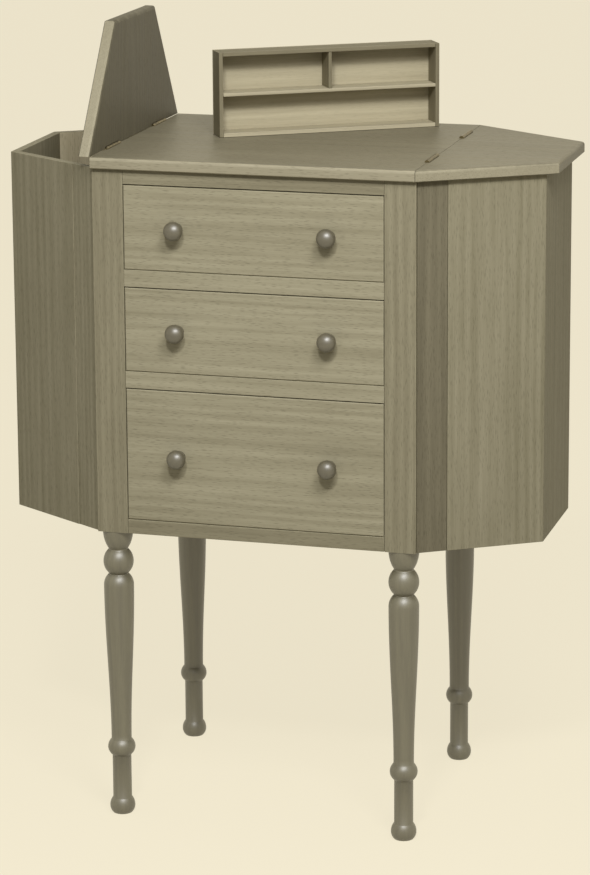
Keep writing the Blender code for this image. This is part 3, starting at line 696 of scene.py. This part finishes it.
# Floor and backdrop: warm paper colour with flecks, whose size is in millimetres. Where the camera
# looks, most of the floor's light is its own, so that it meets the backdrop without a line, and
# the rest comes from the lamps and shows the shadow.
stage = {
    "colour": "eee5cc", "floorSize": 40.0, "selfLit": 0.915, "lit": 0.15, "bounce": 0.45,
    "fleckSize": 10 / 9, "fleckDetail": 2.0, "fleckRange": (0.97, 1.03),
    "fill": 0.38, "fillColour": "ffffff",
}


# Rays from the camera and from glossy or clear pieces, which all see the paper at its own colour
def seeingRays(tree):
    rays = addNode(tree, "ShaderNodeLightPath", {})
    seen = rays.outputs["Is Camera Ray"]
    for name in ("Is Glossy Ray", "Is Transmission Ray"):
        seen = addNode(tree, "ShaderNodeMath", {
            0: seen, 1: rays.outputs[name],
        }, operation="MAXIMUM").outputs[0]
    return seen


# Matt paper: no shine, only a fine fleck
def makeFloor():
    bm = bmesh.new()
    bmesh.ops.create_grid(bm, x_segments=1, y_segments=1, size=stage["floorSize"] / 2)
    mesh = bpy.data.meshes.new("paperFloor")
    bm.to_mesh(mesh)
    bm.free()
    material = bpy.data.materials.new("matPaper")
    material.use_nodes = True
    tree = material.node_tree
    tree.nodes.clear()
    paper = linearColour(stage["colour"])
    seen = seeingRays(tree)
    grain = addNode(tree, "ShaderNodeTexNoise", {
        "Vector": addNode(tree, "ShaderNodeTexCoord", {}).outputs["Object"],
        "Scale": perMetre / stage["fleckSize"], "Detail": stage["fleckDetail"],
    })
    low, high = stage["fleckRange"]
    fleck = addNode(tree, "ShaderNodeMapRange", {
        "Value": grain.outputs["Fac"], "To Min": low, "To Max": high,
    })
    lit = addNode(tree, "ShaderNodeMapRange", {
        "Value": seen, "To Min": stage["bounce"], "To Max": stage["lit"],
    })
    share = addNode(tree, "ShaderNodeMath", {
        0: lit.outputs["Result"], 1: fleck.outputs["Result"],
    }, operation="MULTIPLY")
    colour = addNode(tree, "ShaderNodeMix", {
        0: share.outputs[0], firstColour: linearColour("000000"), secondColour: paper,
    }, data_type="RGBA")
    matt = addNode(tree, "ShaderNodeBsdfDiffuse", {"Color": colour.outputs[mixedColour]})
    glow = addNode(tree, "ShaderNodeMath", {0: seen, 1: stage["selfLit"]}, operation="MULTIPLY")
    own = addNode(tree, "ShaderNodeEmission", {"Color": paper, "Strength": glow.outputs[0]})
    both = addNode(tree, "ShaderNodeAddShader", {0: matt.outputs[0], 1: own.outputs[0]})
    addNode(tree, "ShaderNodeOutputMaterial", {"Surface": both.outputs[0]})
    mesh.materials.append(material)
    floor = bpy.data.objects.new("paperFloor", mesh)
    bpy.context.scene.collection.objects.link(floor)


def makeWorld():
    world = bpy.data.worlds.new("paperBackdrop")
    world.use_nodes = True
    tree = world.node_tree
    tree.nodes.clear()
    seen = seeingRays(tree)
    strength = addNode(tree, "ShaderNodeMapRange", {
        "Value": seen, "To Min": stage["fill"], "To Max": 1.0,
    })
    colour = addNode(tree, "ShaderNodeMix", {
        0: seen, firstColour: linearColour(stage["fillColour"]),
        secondColour: linearColour(stage["colour"]),
    }, data_type="RGBA")
    sky = addNode(tree, "ShaderNodeBackground", {
        "Color": colour.outputs[mixedColour], "Strength": strength.outputs["Result"],
    })
    addNode(tree, "ShaderNodeOutputWorld", {"Surface": sky.outputs[0]})
    bpy.context.scene.world = world


# Lamps: a small soft box in front, high and a little to the right, throws short shadows straight
# down, and a wider one nearer at the right makes the light fall off to the left
lamps = {
    "frontLamp": {"place": (0.35, -2.2, 2.35), "aim": (0.0, 0.0, 0.45),
                  "power": 32.0, "width": 0.35, "colour": "ffffff"},
    "sideLamp": {"place": (0.68, -1.2, 1.8), "aim": (0.0, 0.0, 0.55),
                 "power": 16.5, "width": 0.6, "colour": "ffffff"},
}


def makeLamp(name, look):
    light = bpy.data.lights.new(name, "AREA")
    light.shape = "DISK"
    light.size = look["width"]
    light.energy = look["power"]
    light.color = linearColour(look["colour"])[:3]
    item = bpy.data.objects.new(name, light)
    item.location = look["place"]
    ray = Vector(look["aim"]) - Vector(look["place"])
    item.rotation_euler = ray.to_track_quat("-Z", "Y").to_euler()
    bpy.context.scene.collection.objects.link(item)


# Camera: fitted to the cabinet's corners in the photograph; angles in degrees, lens in millimetres
camera = {
    "place": (0.9839, -3.4838, 1.3303), "turn": 15.78, "tilt": -12.139, "roll": -0.349,
    "lens": 139.78, "sensor": 36.0, "shiftY": -0.15,
}


def makeCamera():
    view = bpy.data.cameras.new("photoCamera")
    view.lens = camera["lens"]
    view.sensor_width = camera["sensor"]
    view.shift_y = camera["shiftY"]
    item = bpy.data.objects.new("photoCamera", view)
    item.matrix_world = (Matrix.Translation(camera["place"])
                         @ Matrix.Rotation(math.radians(camera["turn"]), 4, "Z")
                         @ Matrix.Rotation(math.radians(90 + camera["tilt"]), 4, "X")
                         @ Matrix.Rotation(math.radians(camera["roll"]), 4, "Z"))
    bpy.context.scene.collection.objects.link(item)
    bpy.context.scene.camera = item


makeFloor()
makeWorld()
for name, look in lamps.items():
    makeLamp(name, look)
makeCamera()
bpy.context.scene.view_settings.view_transform = "Standard"
print("stage, lamps and camera: done")
